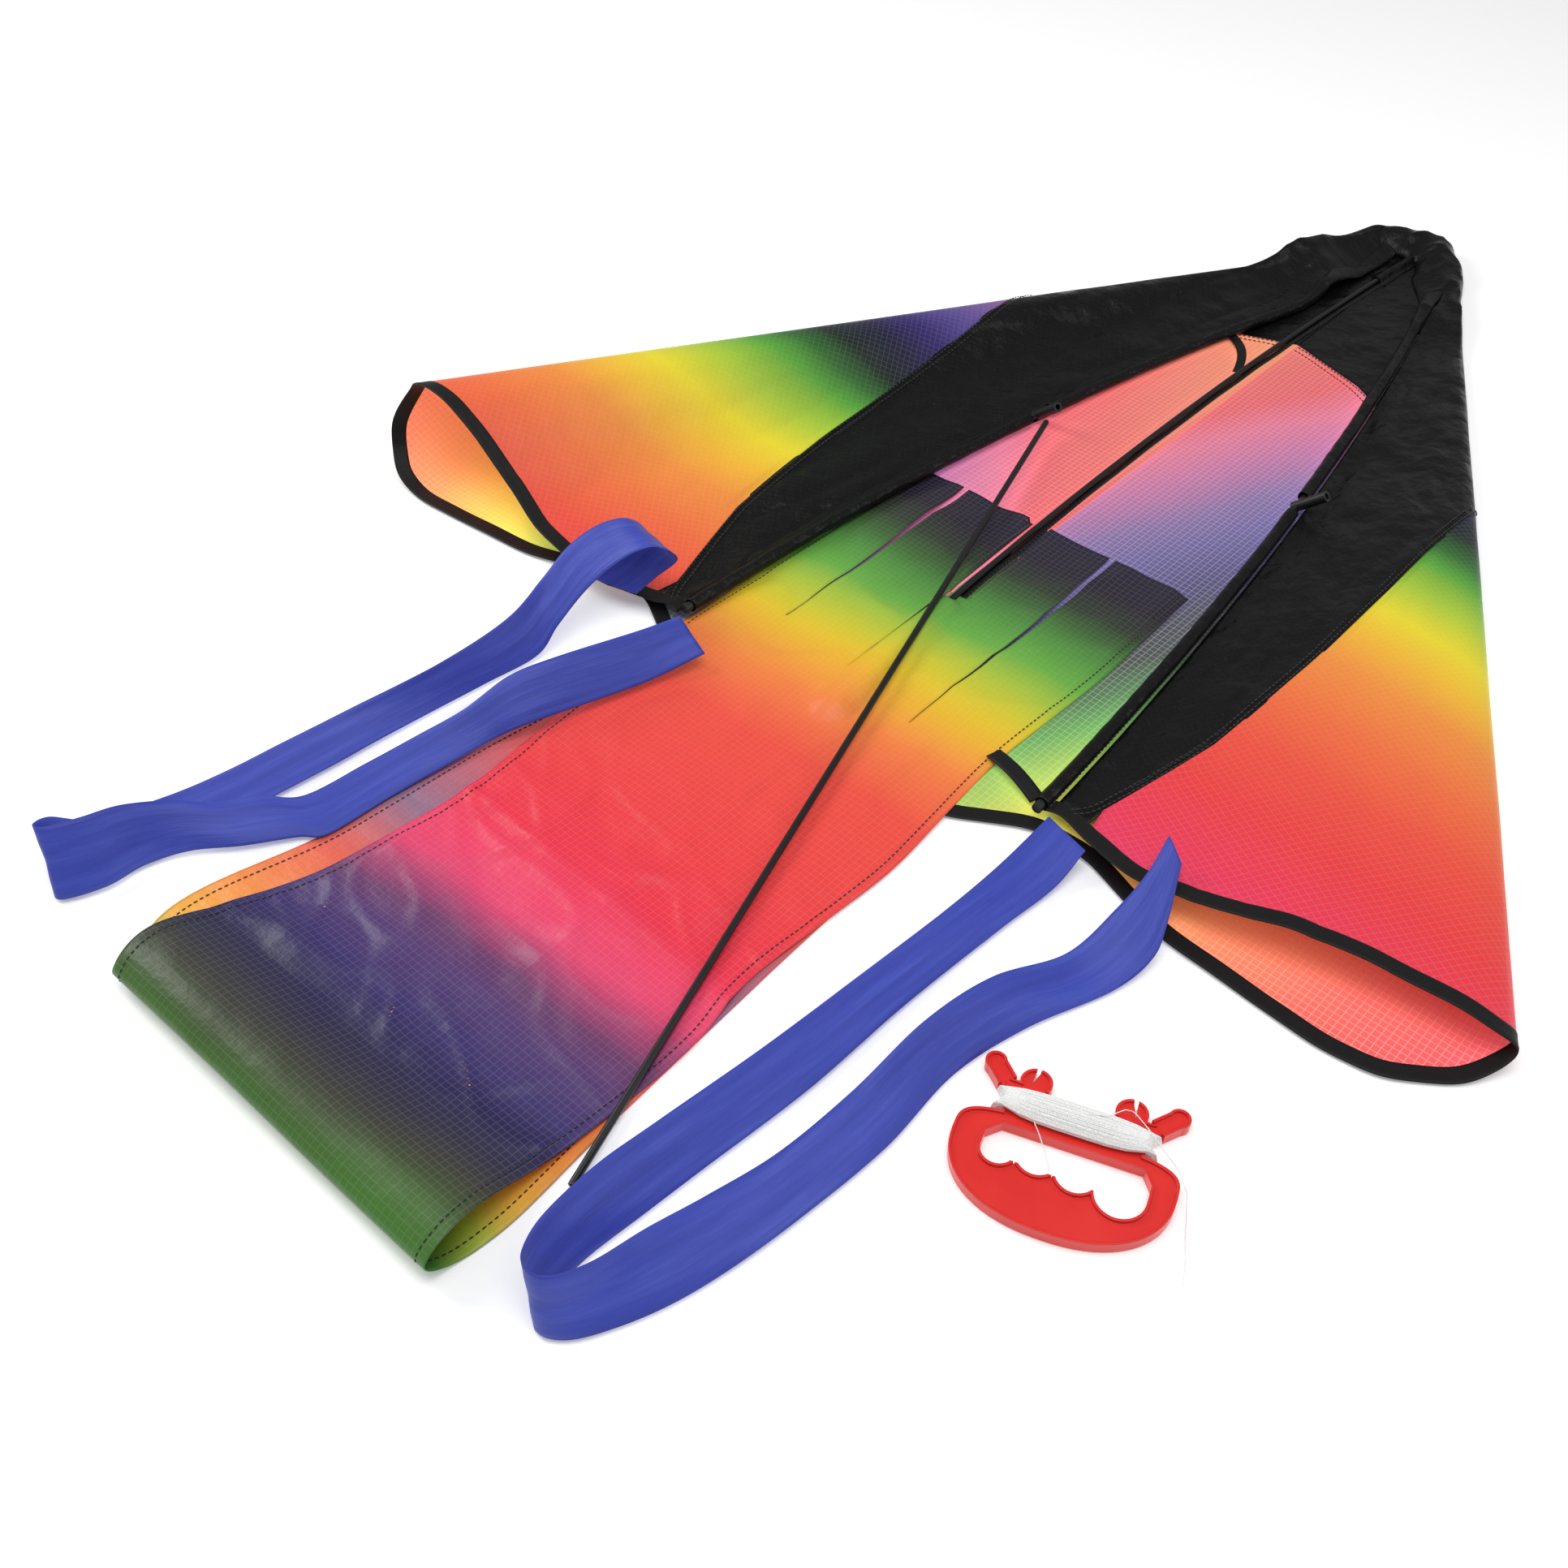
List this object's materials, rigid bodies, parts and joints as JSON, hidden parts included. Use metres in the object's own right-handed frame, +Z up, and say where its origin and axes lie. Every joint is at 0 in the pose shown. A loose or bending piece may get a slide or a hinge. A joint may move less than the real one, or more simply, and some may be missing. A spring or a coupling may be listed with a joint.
{
  "type": "delta kite",
  "caption": "Delta kite with rainbow sail and wide tail, wings folded in for carrying, blue streamers, spreader rod laid across and a D-handle line winder beside it.",
  "frame": {"origin": "centre of the folded kite's footprint, on the surface it lies on", "axes": "+Y toward the kite's nose, +X toward the right wing seen from above, +Z up"},
  "size_m": [0.9752, 1.4023, 0.0883],
  "materials": {
    "black_nylon": "glossy fine-woven nylon",
    "rainbow_ripstop": "ripstop nylon, rainbow gradient",
    "tail_ripstop": "ripstop nylon, rainbow gradient",
    "blue_satin": "thin satin nylon",
    "rod_fibreglass": "smooth pultruded rod",
    "black_vinyl": "soft vinyl",
    "red_plastic": "moulded, satin gloss",
    "white_line": "braided polyester",
    "eyelet_brass": "pressed"
  },
  "bodies": {
    "kite_body": {"left_nose_panel_lower": "black_nylon", "right_nose_panel_lower": "black_nylon", "left_rainbow_panel_lower": "rainbow_ripstop", "right_rainbow_panel_lower": "rainbow_ripstop", "left_edge_binding_lower": "black_nylon", "right_edge_binding_lower": "black_nylon", "spine_rod": "rod_fibreglass", "nose_pocket": "black_nylon", "spine_pocket": "black_nylon", "spine_seam": "black_nylon", "spine_tie": "black_nylon", "tail": "tail_ripstop"},
    "left_wing": {"left_nose_panel_upper": "black_nylon", "left_rainbow_panel_upper": "rainbow_ripstop", "left_edge_binding_upper": "black_nylon", "left_spar": "rod_fibreglass", "left_sleeve": "black_nylon", "left_spar_cap": "black_vinyl", "left_ribbon": "blue_satin"},
    "right_wing": {"right_nose_panel_upper": "black_nylon", "right_rainbow_panel_upper": "rainbow_ripstop", "right_edge_binding_upper": "black_nylon", "right_spar": "rod_fibreglass", "right_sleeve": "black_nylon", "right_spar_cap": "black_vinyl", "right_ribbon": "blue_satin", "right_tip_strap": "black_nylon"},
    "left_connector": {"left_connector": "black_vinyl"},
    "right_connector": {"right_connector": "black_vinyl"},
    "spreader": {"spreader_rod": "rod_fibreglass"},
    "keel": {"keel": "rainbow_ripstop", "keel_edge_tape": "black_nylon", "keel_eyelet": "eyelet_brass"},
    "winder": {"winder_handle": "red_plastic", "line_winding": "white_line", "line_tail": "white_line", "line_start": "white_line"}
  },
  "joints": [
    {"name": "left_wing_fold", "type": "hinge", "parent": "kite_body", "child": "left_wing", "pos_m": [-0.048, 0.678, 0.0018], "axis": [-0.4386, -0.8977, 0.0428], "range_deg": [0, 180]},
    {"name": "right_wing_fold", "type": "hinge", "parent": "kite_body", "child": "right_wing", "pos_m": [0.025, 0.678, 0.0018], "axis": [-0.4689, 0.8831, -0.0184], "range_deg": [0, 180]},
    {"name": "left_connector_turn", "type": "hinge", "parent": "left_wing", "child": "left_connector", "pos_m": [-0.12362, 0.17707, 0.01005], "axis": [-0.1392, -0.9903, 0], "range_deg": [-28, 105]},
    {"name": "right_connector_turn", "type": "hinge", "parent": "right_wing", "child": "right_connector", "pos_m": [0.1135, 0.2072, 0.00999], "axis": [0.1564, -0.9877, 0], "range_deg": [-8, 125]},
    {"name": "spreader_lift", "type": "slide", "parent": "kite_body", "child": "spreader", "axis": [0, 0, 1], "range_m": [0, 0.15]},
    {"name": "keel_swing", "type": "hinge", "parent": "kite_body", "child": "keel", "pos_m": [-0.02, 0.378, 0.0006], "axis": [0, 1, 0], "range_deg": [0, 180]},
    {"name": "winder_lift", "type": "slide", "parent": "kite_body", "child": "winder", "axis": [0, 0, 1], "range_m": [0, 0.15]}
  ]
}
